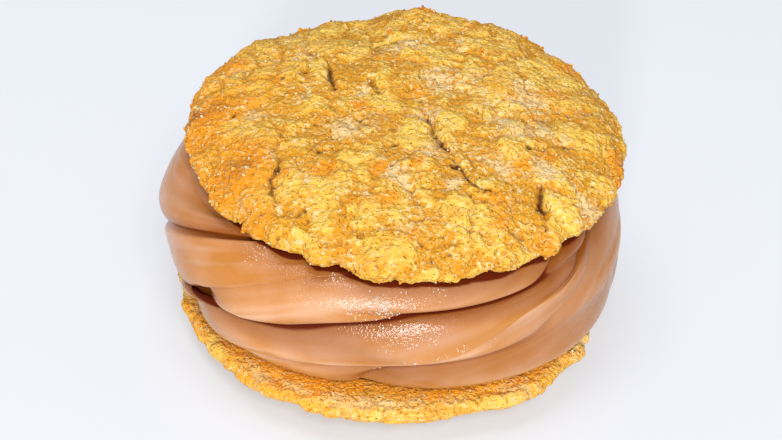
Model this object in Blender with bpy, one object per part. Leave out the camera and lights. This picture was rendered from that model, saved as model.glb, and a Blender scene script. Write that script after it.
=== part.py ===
"""Ice cream sandwich: two home-baked cookies with a thick twist of soft-serve ice cream between them.

Three solids, each a closed surface worked out from a grid of two parameters:
  bottom_cookie  lies turned over, domed side down, on a flattened crown
  ice_cream      soft ribbons that climb anticlockwise as they wrap round, with deep creases between them
  top_cookie     sits domed side up on the ice cream, leaning a little to the front

Frame: +Z is up, -Y is the front, and the origin is the middle of the flat spot that the sandwich rests on.
"""

import math

import bpy
import numpy as np

MM = 0.001  # every size below is in millimetres or degrees; meshes are in metres

TOUCH_GAP = 0.3  # between faces that rest on each other

# Cookies. A lump is (angle, distance from the middle, reach, height), and an outline feature is
# (angle, half width, outward bump or, where negative, inward notch).
BOTTOM_RADIUS = 42.7
BOTTOM_CENTRE = (-1.3, -0.9)
BOTTOM_THICKNESS = 9.6
RESTING_CLIP = 0.6  # the crown of the bottom cookie is pressed flat by this much
BOTTOM_OUTLINE = (
    (-118, 16, 1.3),
    (-96, 12, 0.6),
    (-56, 11, 1.5),
    (-18, 9, -1.6),
    (-38, 5, -0.8),
    (60, 12, 0.7),
    (150, 10, -0.6),
)
BOTTOM_LUMPS = ((0, 0.0, 15.0, 0.9),)  # so that it rests on the middle of its crown

TOP_RADIUS = 42.0
TOP_THICKNESS = 9.4
TOP_BASE_Z = 38.2  # height of the top cookie's base over the middle of the sandwich
TOP_LEAN_X = -0.020  # rise of that base for each millimetre along +X
TOP_LEAN_Y = 0.052  # and along +Y, so the back stands higher than the front
TOP_OUTLINE = (
    (-95, 50, 0.3),
    (-44, 4, -1.2),
    (-55, 5, -0.8),
    (-107, 4, -0.7),
    (-116, 3, -0.8),
    (-122, 4, 0.5),
    (65, 14, 0.8),
    (87, 5, 0.9),
    (116, 14, -0.8),
    (150, 16, 0.5),
)
TOP_LUMPS = (
    (86, 35.0, 7.0, 1.5),
    (60, 35.0, 9.0, 0.6),
    (112, 33.0, 11.0, -0.9),
    (-35, 25.0, 8.0, 0.6),
    (-100, 27.0, 9.0, 0.5),
    (170, 26.0, 9.0, 0.5),
)

EDGE_WIDEST = 1.8  # height above its flat base where a cookie is widest
EDGE_TUCK = 1.8  # how far the edge draws in again on its way down to the base

# Ice cream: a barrel between two flats, with rounded sides that bulge past both cookies. It leans, so its
# middle moves from the first place to the second on its way up.
CREAM_FOOT = (1.2, 0.0)
CREAM_HEAD = (-4.5, 0.0)
CREAM_FLAT_RADIUS = 34.0  # of the flats that touch the cookies
CREAM_BULGE = 11.2  # how far the sides stand out past the flats
CREAM_SQUARENESS = 2.4  # 2 is an ellipse, and more is squarer
CREAM_BELLY = CREAM_FLAT_RADIUS + CREAM_BULGE
CREAM_OUTLINE = (
    (-137, 20, 1.5),
    (-99, 22, -1.5),
    (-42, 22, 1.1),
    (-8, 40, -1.6),
    (158, 24, -3.4),
)
SIDE_LENGTH = 45.0  # from the lower flat to the upper one, over the rounded side
UNDERCUT = 1.0  # how far a crease runs up under the ribbon above it

# Creases between the ribbons, anticlockwise from the left. A crease leaves the bottom cookie at its start
# angle and climbs evenly, turning by CREASE_TURN up the whole side, save for flat runs where it goes round
# without climbing. Each row holds:
#   the start angle
#   the flat runs as (share of the way up, turn there, softness)
#   the depth as (share of the way up, depth) pairs
#   how wide the slopes into the crease are on the ribbon above it and on the one below
#   how far the middle of the ribbon below it stands out, in the same kind of pairs, negative where hollow
CREASE_TURN = 106
CREASES = (
    (
        -221.5,
        ((0.75, -3, 0.10),),
        ((0, 2.4), (0.42, 2.2), (0.6, 1.7), (1, 2.1)),
        4.5,
        2.2,
        ((0.4, 0.2), (0.6, -0.6)),
    ),
    (
        -203,
        ((0.45, 10, 0.02), (0.85, 8, 0.06)),
        ((0.35, 3.0), (0.48, 4.2), (0.54, 1.0), (0.62, 0.3)),
        2.0,
        3.5,
        ((0, 0.8),),
    ),
    (
        -189.5,
        ((0.51, 21.6, 0.019), (0.59, 15.7, 0.05), (0.678, 29.2, 0.014)),
        ((0, 3.0), (0.44, 1.2), (0.5, 2.4), (1, 2.2)),
        1.6,
        8.0,
        ((0, 0.9),),
    ),
    (
        -161.2,
        ((0.417, 42.6, 0.082), (0.611, 17.4, 0.014)),
        ((0.60, 0.0), (0.66, 1.5), (1, 1.8)),
        2.5,
        5.0,
        ((0.3, 0.5), (0.55, -0.7)),
    ),
    (
        -101.5,
        ((0.156, -32.4, 0.164), (0.438, 31.0, 0.042), (0.546, 7.7, 0.018)),
        ((0, 1.2), (0.2, 1.8), (0.3, 2.6), (0.45, 1.6), (0.54, 0.9), (1, 1.3)),
        7.0,
        14.0,
        ((0.1, -0.6), (0.35, 0.5), (0.5, 1.0)),
    ),
    (-52, ((0.50, 30, 0.040),), ((0, 2.4), (0.5, 2.6), (1, 1.8)), 2.0, 7.0, ((0, 0.8),)),
    (-10, ((0.42, 25, 0.040),), ((0, 2.4), (0.5, 2.2), (1, 1.8)), 5.0, 3.0, ((0, 0.8),)),
    (
        45,
        ((0.58, 25, 0.050),),
        ((0, 2.4), (0.5, 2.6), (1, 1.8)),
        2.0,
        7.0,
        ((0.4, 1.6), (0.6, 0.0), (1, -1.5)),
    ),
)


# --- Noise and mesh helpers --------------------------------------------------


def lattice_value(ix, iy, iz, seed):
    """A repeatable random number from -1 to 1 for each point of a whole-number lattice."""
    mixed = ix * 374761393 + iy * 668265263 + iz * 2147483647 + seed * 1274126177
    mixed = (mixed ^ (mixed >> 13)) * 1274126177
    mixed = mixed ^ (mixed >> 16)
    return (mixed & 0xFFFF) / 32767.5 - 1.0


def noise(x, y, z, size, seed):
    """Smooth noise from about -1 to 1 in lumps about size across: lattice values blended over each cell."""
    cell = [np.floor(c / size).astype(np.int64) for c in (x, y, z)]
    blend = [c / size - i for c, i in zip((x, y, z), cell)]
    blend = [t * t * t * (t * (6 * t - 15) + 10) for t in blend]
    total = 0.0
    for corner in range(8):
        step = (corner & 1, corner >> 1 & 1, corner >> 2)
        weight = 1.0
        for t, s in zip(blend, step):
            weight = weight * (t if s else 1 - t)
        total = total + weight * lattice_value(*(i + s for i, s in zip(cell, step)), seed)
    return total


def object_from_faces(name, points, faces, material):
    """A smooth-shaded object from points in millimetres."""
    mesh = bpy.data.meshes.new(name)
    mesh.from_pydata((points * MM).tolist(), [], faces)
    mesh.shade_smooth()
    mesh.set_sharp_from_angle(angle=math.radians(60))
    mesh.materials.append(material)
    made = bpy.data.objects.new(name, mesh)
    bpy.context.scene.collection.objects.link(made)
    return made


def food_material(name, colour, roughness):
    """A food material of one colour."""
    material = bpy.data.materials.new(name)
    material.use_nodes = True
    shader = material.node_tree.nodes["Principled BSDF"]
    shader.inputs["Base Color"].default_value = (*colour, 1.0)
    shader.inputs["Roughness"].default_value = roughness
    shader.inputs["Metallic"].default_value = 0.0
    return material


# --- Cookies -----------------------------------------------------------------


def round_grid(cells, rings, inner):
    """A grid for a round thing with clean edges: a square of cells bent into a disc that reaches to inner,
    then rings from there out to 1. Gives each point's distance from the centre and its angle, the triangles,
    and the outermost loop of points, anticlockwise. The disc's cells are split outwards from its middle, so
    that none is a sliver where the square's corners were."""
    side = cells + 1
    u, v = np.meshgrid(np.linspace(-1, 1, side), np.linspace(-1, 1, side))
    x = (u * np.sqrt(1 - v * v / 2)).ravel()
    y = (v * np.sqrt(1 - u * u / 2)).ravel()
    number = np.arange(side * side).reshape(side, side)
    a, b, c, d = number[:-1, :-1], number[:-1, 1:], number[1:, 1:], number[1:, :-1]
    outwards = (u[:-1, :-1] + u[1:, 1:]) * (v[:-1, :-1] + v[1:, 1:]) > 0
    one = np.where(outwards[..., None], np.stack([a, b, c], -1), np.stack([a, b, d], -1))
    other = np.where(outwards[..., None], np.stack([a, c, d], -1), np.stack([b, c, d], -1))
    loop = np.concatenate([number[0, :-1], number[:-1, -1], number[-1, :0:-1], number[:0:-1, 0]])
    belts = np.vstack([loop, side * side + np.arange(rings * len(loop)).reshape(rings, -1)])
    beside = np.roll(belts, -1, axis=1)
    near = np.stack([belts[:-1], belts[1:], beside[1:]], -1)
    far = np.stack([belts[:-1], beside[1:], beside[:-1]], -1)
    angle = np.arctan2(y, x)
    steps = np.linspace(inner, 1, rings + 1)[1:]
    share = np.concatenate([np.hypot(x, y) * inner, np.repeat(steps, len(loop))])
    triangles = np.concatenate([part.reshape(-1, 3) for part in (one, other, near, far)])
    return share, np.concatenate([angle, np.tile(angle[loop], rings)]), triangles, belts[-1]


def cookie_profile(share, radius, thickness):
    """Distance from the axis, as a share of the radius, and height above the base, at shares of the way down
    the domed side from the crown to the foot. The dome is a quarter of a rounded oblong down to the widest
    line, and a small quarter ellipse tucks in under it."""
    turn = np.linspace(0, math.pi / 2, 300)
    dome_r = np.sin(turn) ** 0.77
    dome_z = EDGE_WIDEST + (thickness - EDGE_WIDEST) * np.cos(turn) ** 1.15
    tuck_r = 1 - EDGE_TUCK / radius * (1 - np.cos(turn[1:]))
    tuck_z = EDGE_WIDEST * (1 - np.sin(turn[1:]))
    r, z = np.concatenate([dome_r, tuck_r]), np.concatenate([dome_z, tuck_z])
    along = np.concatenate([[0], np.cumsum(np.hypot(np.diff(r) * radius, np.diff(z)))])
    return np.interp(share, along / along[-1], r), np.interp(share, along / along[-1], z)


def outline_offset(angle, features):
    """How far the outline stands out at an angle: a rounded bump or notch for each feature."""
    total = 0.0
    for centre, half_width, amount in features:
        away = (np.degrees(angle) - centre + 180) % 360 - 180
        total = total + amount * np.exp(-((away / half_width) ** 2))
    return total


def cookie_points(share, angle, radius, thickness, outline, lumps, seed):
    """Points of a cookie's domed side, base down and centred on the axis, with its uneven outline and a
    lumpy crown. The lumps fade out towards the base, which stays flat."""
    r, z = cookie_profile(share, radius, thickness)
    crumble = 0.35 * noise(9 * np.cos(angle), 9 * np.sin(angle), 0 * angle, 1.0, seed)
    x = r * (radius + crumble + outline_offset(angle, outline)) * np.cos(angle)
    y = r * (radius + crumble + outline_offset(angle, outline)) * np.sin(angle)
    lift = 0.55 * noise(x, y, z, 9.0, seed + 1) + 0.30 * noise(x, y, z, 5.0, seed + 2)
    for centre, distance, reach, height in lumps:
        lump_x = distance * math.cos(math.radians(centre))
        lump_y = distance * math.sin(math.radians(centre))
        lift = lift + height * np.exp(-((x - lump_x) ** 2 + (y - lump_y) ** 2) / reach**2)
    return np.stack([x, y, z + lift * np.clip(z / EDGE_WIDEST, 0, 1)], -1)


def cookie_with_base(cells, rings, radius, thickness, outline, lumps, seed):
    """A whole cookie, base down: the domed side on a round grid, closed by a flat fan of triangles."""
    share, angle, triangles, loop = round_grid(cells, rings, inner=0.74)
    points = cookie_points(share, angle, radius, thickness, outline, lumps, seed)
    faces = [tuple(triangle) for triangle in triangles.tolist()]
    faces += [(i, len(points), j) for i, j in zip(loop.tolist(), np.roll(loop, -1).tolist())]
    return np.vstack([points, [0.0, 0.0, 0.0]]), faces


def top_cookie(material):
    """The cookie on top, base down, leaning with the ice cream's upper face."""
    points, faces = cookie_with_base(20, 8, TOP_RADIUS, TOP_THICKNESS, TOP_OUTLINE, TOP_LUMPS, seed=3)
    points[:, 2] += TOP_BASE_Z + TOP_LEAN_X * points[:, 0] + TOP_LEAN_Y * points[:, 1]
    return object_from_faces("top_cookie", points, faces, material)


def bottom_cookie(material):
    """The cookie below, turned over about the X axis so that its base faces up, with the crown pressed flat
    on what it stands on."""
    outline = [(-centre, half_width, amount) for centre, half_width, amount in BOTTOM_OUTLINE]
    size = BOTTOM_RADIUS, BOTTOM_THICKNESS
    points, faces = cookie_with_base(18, 7, *size, outline, BOTTOM_LUMPS, seed=11)
    pressed = BOTTOM_THICKNESS - RESTING_CLIP
    points[:, 2] = np.minimum(points[:, 2], pressed)
    points *= [1, -1, -1]
    points += [*BOTTOM_CENTRE, pressed]
    return object_from_faces("bottom_cookie", points, faces, material)


# --- Ice cream ---------------------------------------------------------------


def crease_line(crease, along):
    """A crease's angle in degrees, its height as a share of the side, and its direction on the unrolled
    side, at shares of its own length. The angle is an even climb plus a smooth step for each flat run."""
    start, runs = CREASES[crease % len(CREASES)][:2]
    share = np.linspace(0, 1, 600)
    angle = start + 360 * (crease // len(CREASES)) + CREASE_TURN * share
    for height, turn, softness in runs:
        angle = angle + turn * (0.5 + 0.5 * np.tanh((share - height) / softness))
    round_mm, up_mm = np.radians(angle) * CREAM_BELLY, share * SIDE_LENGTH
    length = np.concatenate([[0], np.cumsum(np.hypot(np.diff(round_mm), np.diff(up_mm)))])
    length /= length[-1]
    ahead, behind = np.clip(along + 0.01, 0, 1), np.clip(along - 0.01, 0, 1)
    step_round = np.interp(ahead, length, round_mm) - np.interp(behind, length, round_mm)
    step_up = np.interp(ahead, length, up_mm) - np.interp(behind, length, up_mm)
    step = np.hypot(step_round, step_up)
    angle, share = np.interp(along, length, angle), np.interp(along, length, share)
    return angle, share, step_round / step, step_up / step


def ribbon_surface(ribbon, across, along):
    """One ribbon, from the crease above it to the crease below, as angle, height share, relief outwards and
    undercut upwards. The lip above a crease rolls over like a wave, and the ribbon below eases out of it."""
    upper, lower = crease_line(ribbon, along), crease_line(ribbon + 1, along)
    angle = upper[0] + (lower[0] - upper[0]) * across
    share = upper[1] + (lower[1] - upper[1]) * across
    gap_round = np.radians(lower[0] - upper[0]) * CREAM_BELLY
    gap_up = (lower[1] - upper[1]) * SIDE_LENGTH
    width = np.abs(gap_round * upper[3] - gap_up * upper[2])
    crown = np.interp(share, *zip(*CREASES[ribbon][5]))
    relief = crown * np.minimum(1, width / 14) * 4 * across * (1 - across)
    undercut = 0.0
    for crease, line, part, lip in ((ribbon, upper, across, False), (ribbon + 1, lower, 1 - across, True)):
        depths, reach_above, reach_below = CREASES[crease % len(CREASES)][2:5]
        depth = np.interp(line[1], *zip(*depths))
        distance = part * np.abs(gap_round * line[3] - gap_up * line[2])
        near = np.clip(1 - distance / (reach_above if lip else reach_below), 0, 1)
        relief = relief - depth * (1 - np.sqrt(1 - near**2) if lip else near**1.7)
        undercut = undercut + np.minimum(depth / 2.5, 1) * UNDERCUT * near**4
    return angle, share, relief, undercut


def barrel(share):
    """Distance out from the flats' radius and height between the cookies, both as shares, at shares of the
    way round the side from the lower flat to the upper one: half of a rounded oblong."""
    turn = np.clip(share - 0.5, -0.5, 0.5) * math.pi
    power = 2 / CREAM_SQUARENESS
    return np.abs(np.cos(turn)) ** power, 0.5 + 0.5 * np.sign(turn) * np.abs(np.sin(turn)) ** power


def cream_points(angle, share, relief, undercut):
    """Places the ribbons on the barrel. Relief moves a point along the barrel's normal and undercut moves it
    up the side; both fade out where the barrel meets the flats."""
    out, up = barrel(share)
    ahead, behind = barrel(share + 0.004), barrel(share - 0.004)
    side_r = CREAM_BULGE * (ahead[0] - behind[0])
    side_z = (TOP_BASE_Z - BOTTOM_THICKNESS) * (ahead[1] - behind[1])
    step = np.maximum(np.hypot(side_r, side_z), 1e-9)
    side_r, side_z = side_r / step, side_z / step
    fade = np.clip(np.minimum(share, 1 - share) / 0.08, 0, 1)
    radians = np.radians(angle)
    r = CREAM_FLAT_RADIUS + (CREAM_BULGE + outline_offset(radians, CREAM_OUTLINE)) * out
    r = r + fade * (relief * side_z + undercut * side_r)
    x = CREAM_FOOT[0] + (CREAM_HEAD[0] - CREAM_FOOT[0]) * up + r * np.cos(radians)
    y = CREAM_FOOT[1] + (CREAM_HEAD[1] - CREAM_FOOT[1]) * up + r * np.sin(radians)
    lower = BOTTOM_THICKNESS - RESTING_CLIP + TOUCH_GAP
    upper = TOP_BASE_Z - TOUCH_GAP + TOP_LEAN_X * x + TOP_LEAN_Y * y
    z = lower + (upper - lower) * up + fade * (undercut * side_z - relief * side_r)
    return np.stack([x, y, np.clip(z, lower, upper)], -1)


def ice_cream(material):
    """The twist of soft-serve. The grid's columns follow the ribbons, so each crease is a line of edges."""
    columns, rows = 11, 30
    across = 0.5 - 0.5 * np.cos(math.pi * np.arange(columns) / columns)
    along = np.linspace(0, 1, rows)[:, None]
    ribbons = [ribbon_surface(ribbon, across, along) for ribbon in range(len(CREASES))]
    points = cream_points(*(np.concatenate(values, axis=1) for values in zip(*ribbons)))
    foot, head = points[0].mean(axis=0), points[-1].mean(axis=0)
    grid = np.arange(rows * points.shape[1]).reshape(rows, -1)
    beside = np.roll(grid, -1, axis=1)
    halves = (grid[:-1], beside[:-1], grid[1:]), (beside[:-1], beside[1:], grid[1:])
    faces = [tuple(face) for half in halves for face in np.stack(half, -1).reshape(-1, 3).tolist()]
    faces += [(grid.size, j, i) for i, j in zip(grid[0].tolist(), beside[0].tolist())]
    faces += [(grid.size + 1, i, j) for i, j in zip(grid[-1].tolist(), beside[-1].tolist())]
    return object_from_faces("ice_cream", np.vstack([points.reshape(-1, 3), foot, head]), faces, material)


for existing in list(bpy.data.objects):
    bpy.data.objects.remove(existing)

cookie_material = food_material("baked_cookie", (0.78, 0.42, 0.09), 0.8)
cream_material = food_material("chocolate_soft_serve", (0.60, 0.33, 0.17), 0.4)
bottom_cookie(cookie_material)
ice_cream(cream_material)
top_cookie(cookie_material)
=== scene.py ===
"""Ice cream sandwich: a thick twist of chocolate soft-serve between two crackled, golden sugar cookies.

The sections follow the sandwich as it is put together: the setting, the bottom cookie, the ice cream, the
top cookie, and the loose sugar and crumbs. Lengths in this file are in millimetres and angles in degrees
until a mesh is made. +Z is up, -Y is the front, and the origin is where the sandwich rests.
"""

import math

import bmesh
import bpy
import numpy as np
from mathutils import Matrix


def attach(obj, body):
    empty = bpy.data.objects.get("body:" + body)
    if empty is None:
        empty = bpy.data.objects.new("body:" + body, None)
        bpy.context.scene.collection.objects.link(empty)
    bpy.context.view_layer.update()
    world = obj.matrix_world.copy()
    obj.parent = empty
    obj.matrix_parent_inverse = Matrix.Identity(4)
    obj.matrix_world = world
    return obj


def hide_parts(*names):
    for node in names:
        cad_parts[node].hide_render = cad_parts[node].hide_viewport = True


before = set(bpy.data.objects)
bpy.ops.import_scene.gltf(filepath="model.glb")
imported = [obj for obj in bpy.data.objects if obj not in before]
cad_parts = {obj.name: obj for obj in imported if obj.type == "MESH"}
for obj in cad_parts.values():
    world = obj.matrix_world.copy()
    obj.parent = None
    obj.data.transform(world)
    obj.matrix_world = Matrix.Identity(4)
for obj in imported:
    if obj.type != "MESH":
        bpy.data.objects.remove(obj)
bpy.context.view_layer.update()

MM = 0.001  # metres in a millimetre


# --- Setting -----------------------------------------------------------------
# A plain pale floor in a light tent: cool white light from all round, and one soft box near the camera, a
# little to its left. The camera looks down at the front by 35 degrees and leans 2.5 degrees to one side.

CAMERA_PLACE = (-2.16, -322.86, 246.46)
CAMERA_LENS = 92.07  # with a sensor 36 mm wide
CAMERA_DOWN = 35.0
CAMERA_ROLL = 2.52
FLOOR_WIDTH = 6000.0
SKY_STRENGTH = 0.42
LIGHTS_AIM = (0.0, 0.0, 25.0)
LIGHTS = (  # name, place, width, watts, whether it shows in reflections
    ("soft_box", (-190.0, -1800.0, 590.0), 190.0, 23.0, True),
    ("front_fill", (170.0, -1150.0, 1120.0), 500.0, 14.0, False),
    ("overhead_panel", (-120.0, -120.0, 900.0), 500.0, 3.2, True),
)


def srgb(code):
    """A linear colour from an sRGB hex value: each channel is undone by the sRGB curve."""
    channels = [int(code[i : i + 2], 16) / 255 for i in (0, 2, 4)]
    return tuple(c / 12.92 if c <= 0.04045 else ((c + 0.055) / 1.055) ** 2.4 for c in channels) + (1.0,)


def add_node(tree, kind, settings=None, inputs=None):
    """Adds one shader node with its settings. Inputs are given by name or number, each as a value, as a
    node, which stands for its first live output, or as one output of a node."""
    made = tree.nodes.new("ShaderNode" + kind)
    for name, value in (settings or {}).items():
        setattr(made, name, value)
    live = [socket for socket in made.inputs if socket.enabled]
    for name, value in (inputs or {}).items():
        socket = live[name] if isinstance(name, int) else next(s for s in live if s.name == name)
        if isinstance(value, bpy.types.Node):
            value = next(output for output in value.outputs if output.enabled)
        if isinstance(value, bpy.types.NodeSocket):
            tree.links.new(value, socket)
        else:
            socket.default_value = value
    return made


def new_material(name):
    """A material with an empty node tree."""
    material = bpy.data.materials.new(name)
    material.use_nodes = True
    material.node_tree.nodes.clear()
    return material


def put_mesh(name, points, triangles, material, smooth=True, **fields):
    """A piece made of triangles between points in millimetres, with each field kept as an attribute."""
    mesh = bpy.data.meshes.new(name)
    mesh.from_pydata((points * MM).tolist(), [], triangles.tolist())
    if smooth:
        mesh.shade_smooth()
    for field, values in fields.items():
        mesh.attributes.new(field, "FLOAT", "POINT").data.foreach_set("value", values.astype(np.float32))
    mesh.materials.append(material)
    made = bpy.data.objects.new(name, mesh)
    bpy.context.scene.collection.objects.link(made)
    return made


scene = bpy.context.scene
scene.view_settings.view_transform = "Standard"
world = bpy.data.worlds.new("light_tent")
world.use_nodes = True
scene.world = world
world.node_tree.nodes.clear()
sky = add_node(world.node_tree, "Background", inputs={"Color": srgb("F4F7FF"), "Strength": SKY_STRENGTH})
add_node(world.node_tree, "OutputWorld", inputs={"Surface": sky})

tent_floor = new_material("pale_matt_floor")
matt = add_node(
    tent_floor.node_tree,
    "BsdfPrincipled",
    inputs={
        "Base Color": srgb("AAACB0"),
        "Roughness": 0.9,
        "Specular IOR Level": 0.1,
        "Emission Color": srgb("EEF1F8"),
        "Emission Strength": 0.42,
    },
)
add_node(tent_floor.node_tree, "OutputMaterial", inputs={"Surface": matt})
corners = np.array([[-1, -1, 0], [1, -1, 0], [1, 1, 0], [-1, 1, 0]]) * FLOOR_WIDTH / 2
floor = put_mesh("floor", corners, np.array([[0, 1, 2], [0, 2, 3]]), tent_floor, smooth=False)

for name, place, width, watts, reflected in LIGHTS:
    light = bpy.data.lights.new(name, "AREA")
    light.shape = "DISK"
    light.size = width * MM
    light.energy = watts
    lamp = bpy.data.objects.new(name, light)
    lamp.visible_glossy = reflected
    scene.collection.objects.link(lamp)
    back = (np.array(place) - LIGHTS_AIM) / np.linalg.norm(np.array(place) - LIGHTS_AIM)
    side = np.cross([0, 1, 0], back)
    side = side / np.linalg.norm(side)
    turn = Matrix(np.stack([side, np.cross(back, side), back], -1).tolist())
    lamp.matrix_world = Matrix.Translation([c * MM for c in place]) @ turn.to_4x4()

camera_data = bpy.data.cameras.new("camera")
camera_data.lens = CAMERA_LENS
camera_data.sensor_width = 36.0
camera_data.clip_start = 0.01
camera = bpy.data.objects.new("camera", camera_data)
scene.collection.objects.link(camera)
tip = Matrix.Rotation(math.radians(90 - CAMERA_DOWN), 4, "X")
roll = Matrix.Rotation(math.radians(CAMERA_ROLL), 4, "Z")
camera.matrix_world = Matrix.Translation([c * MM for c in CAMERA_PLACE]) @ tip @ roll
scene.camera = camera


# --- Bottom cookie -----------------------------------------------------------
# A sugar cookie baked on a tray and turned over, so its flat, browned base faces up under the ice cream and
# its domed crown is pressed a little flat on the floor. The crust is short, crumbly dough: it puffs into
# lumps with creases between them, and its rim breaks into ragged crumbs.

BOTTOM_RADIUS = 42.7
BOTTOM_CENTRE = (-1.3, -0.9)
BOTTOM_THICKNESS = 9.6
RESTING_CLIP = 0.6  # the crown is pressed flat by this much
BOTTOM_OUTLINE = (  # angle, half width, outward bump or inward notch
    (-116, 15, 1.8),
    (-89, 18, 1.4),
    (-64, 5, -0.6),
    (-122, 4, 0.4),
    (-54, 12, 1.8),
    (-18, 9, -1.6),
    (-38, 5, -0.5),
    (-31, 6, 0.9),
    (60, 12, 0.7),
    (150, 10, -0.6),
)
BOTTOM_NIBBLES = ((-171, 3, -0.5), (-113, 3, -0.7), (-143, 2, 0.2), (-76, 2, -0.4), (-28, 2, -0.6), (-49, 2, 0.4))
BOTTOM_LUMPS = ((0, 0.0, 15.0, 0.9),)  # angle, distance from the middle, reach, height
EDGE_WIDEST = 1.8  # height above its base where a cookie is widest
EDGE_TUCK = 1.8  # how far the edge draws in again on its way down to the base


def lattice_value(ix, iy, iz, seed):
    """A repeatable random number from -1 to 1 for each point of a whole-number lattice."""
    mixed = ix * 374761393 + iy * 668265263 + iz * 2147483647 + seed * 1274126177
    mixed = (mixed ^ (mixed >> 13)) * 1274126177
    mixed = mixed ^ (mixed >> 16)
    return (mixed & 0xFFFF) / 32767.5 - 1.0


def noise(x, y, z, size, seed):
    """Smooth noise from about -1 to 1 in lumps about size across: lattice values blended over each cell."""
    cell = [np.floor(c / size).astype(np.int64) for c in (x, y, z)]
    blend = [c / size - i for c, i in zip((x, y, z), cell)]
    blend = [t * t * t * (t * (6 * t - 15) + 10) for t in blend]
    total = 0.0
    for corner in range(8):
        step = (corner & 1, corner >> 1 & 1, corner >> 2)
        weight = 1.0
        for t, s in zip(blend, step):
            weight = weight * (t if s else 1 - t)
        total = total + weight * lattice_value(*(i + s for i, s in zip(cell, step)), seed)
    return total


def puff(x, y, z, size, seed):
    """Puffed dough, from 0 in its sharp creases to 1 on its lumps: how far turned noise is from nought."""
    turn = 1.3 * seed
    across = x * math.cos(turn) + y * math.sin(turn)
    along = y * math.cos(turn) - x * math.sin(turn)
    return np.minimum(1, 2.4 * np.abs(noise(across, along + 0.5 * z, z, size, seed)))


def cookie_grid(cells, rings, base_rings, inner):
    """A closed grid for a cookie: a square of cells bent into a disc round the crown, rings on down the side
    and back under the base, and a point at the middle of the base. Share runs from 0 at the crown through 1
    at the foot of the side to 2 at the middle of the base."""
    side = cells + 1
    u, v = np.meshgrid(np.linspace(-1, 1, side), np.linspace(-1, 1, side))
    x = (u * np.sqrt(1 - v * v / 2)).ravel()
    y = (v * np.sqrt(1 - u * u / 2)).ravel()
    number = np.arange(side * side).reshape(side, side)
    a, b, c, d = number[:-1, :-1], number[:-1, 1:], number[1:, 1:], number[1:, :-1]
    outwards = ((u[:-1, :-1] + u[1:, 1:]) * (v[:-1, :-1] + v[1:, 1:]) > 0)[..., None]
    one = np.where(outwards, np.stack([a, b, c], -1), np.stack([a, b, d], -1))
    other = np.where(outwards, np.stack([a, c, d], -1), np.stack([b, c, d], -1))
    loop = np.concatenate([number[0, :-1], number[:-1, -1], number[-1, :0:-1], number[:0:-1, 0]])
    in_base = (np.arange(1, base_rings + 1) / (base_rings + 0.5)) ** 1.7
    steps = np.concatenate([np.linspace(inner, 1, rings + 1)[1:], 1 + in_base])
    belts = np.vstack([loop, side * side + np.arange(len(steps) * len(loop)).reshape(len(steps), -1)])
    beside = np.roll(belts, -1, axis=1)
    near = np.stack([belts[:-1], belts[1:], beside[1:]], -1)
    far = np.stack([belts[:-1], beside[1:], beside[:-1]], -1)
    last = side * side + len(steps) * len(loop)
    cap = np.stack([belts[-1], np.full(len(loop), last), beside[-1]], -1)
    angle = np.arctan2(y, x)
    share = np.concatenate([np.hypot(x, y) * inner, np.repeat(steps, len(loop)), [2.0]])
    triangles = np.concatenate([part.reshape(-1, 3) for part in (one, other, near, far, cap)])
    return share, np.concatenate([angle, np.tile(angle[loop], len(steps)), [0.0]]), triangles


def cookie_profile(share, radius, thickness):
    """Distance from the axis as a share of the radius, height above the base, and the outward direction, for
    each share. The dome is a quarter of a rounded oblong down to the widest line, a small quarter ellipse
    tucks in under it, and the base is flat."""
    turn = np.linspace(0, math.pi / 2, 300)
    dome_r = np.sin(turn) ** 0.77
    dome_z = EDGE_WIDEST + (thickness - EDGE_WIDEST) * np.cos(turn) ** 1.15
    tuck_r = 1 - EDGE_TUCK / radius * (1 - np.cos(turn[1:]))
    tuck_z = EDGE_WIDEST * (1 - np.sin(turn[1:]))
    r, z = np.concatenate([dome_r, tuck_r]), np.concatenate([dome_z, tuck_z])
    along = np.concatenate([[0], np.cumsum(np.hypot(np.diff(r) * radius, np.diff(z)))])
    along, r, z = np.append(along / along[-1], 2), np.append(r, 0), np.append(z, 0)
    ahead, behind = np.minimum(share + 0.006, 2), np.maximum(share - 0.006, 0)
    step_r = (np.interp(ahead, along, r) - np.interp(behind, along, r)) * radius
    step_z = np.interp(ahead, along, z) - np.interp(behind, along, z)
    step = np.hypot(step_r, step_z)
    return np.interp(share, along, r), np.interp(share, along, z), -step_z / step, step_r / step


def outline_offset(angle, features):
    """How far the outline stands out at an angle: a rounded bump or notch for each feature."""
    total = 0.0
    for centre, half_width, amount in features:
        away = (np.degrees(angle) - centre + 180) % 360 - 180
        total = total + amount * np.exp(-((away / half_width) ** 2))
    return total


def rim_radius(angle, radius, outline, nibbles, seed):
    """Radius of a cookie's uneven rim at an angle: crumbled all along, with its bumps, notches and nibbles."""
    crumble = 0.35 * noise(9 * np.cos(angle), 9 * np.sin(angle), 0 * angle, 1.0, seed)
    return radius + crumble + outline_offset(angle, outline) + outline_offset(angle, nibbles)


def cookie_body(share, angle, radius, thickness, outline, nibbles, lumps, seed):
    """Points of a cookie, base down and centred on the axis, with its uneven outline and lumpy crown, and
    the outward direction at each."""
    r, z, out_r, out_z = cookie_profile(share, radius, thickness)
    edge = rim_radius(angle, radius, outline, nibbles, seed)
    x, y = r * edge * np.cos(angle), r * edge * np.sin(angle)
    lift = 0.55 * noise(x, y, z, 9.0, seed + 1) + 0.30 * noise(x, y, z, 5.0, seed + 2)
    for centre, distance, reach, height in lumps:
        lump_x = distance * math.cos(math.radians(centre))
        lump_y = distance * math.sin(math.radians(centre))
        lift = lift + height * np.exp(-((x - lump_x) ** 2 + (y - lump_y) ** 2) / reach**2)
    points = np.stack([x, y, z + lift * np.clip(z / EDGE_WIDEST, 0, 1)], -1)
    return points, np.stack([out_r * np.cos(angle), out_r * np.sin(angle), out_z], -1)


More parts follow.
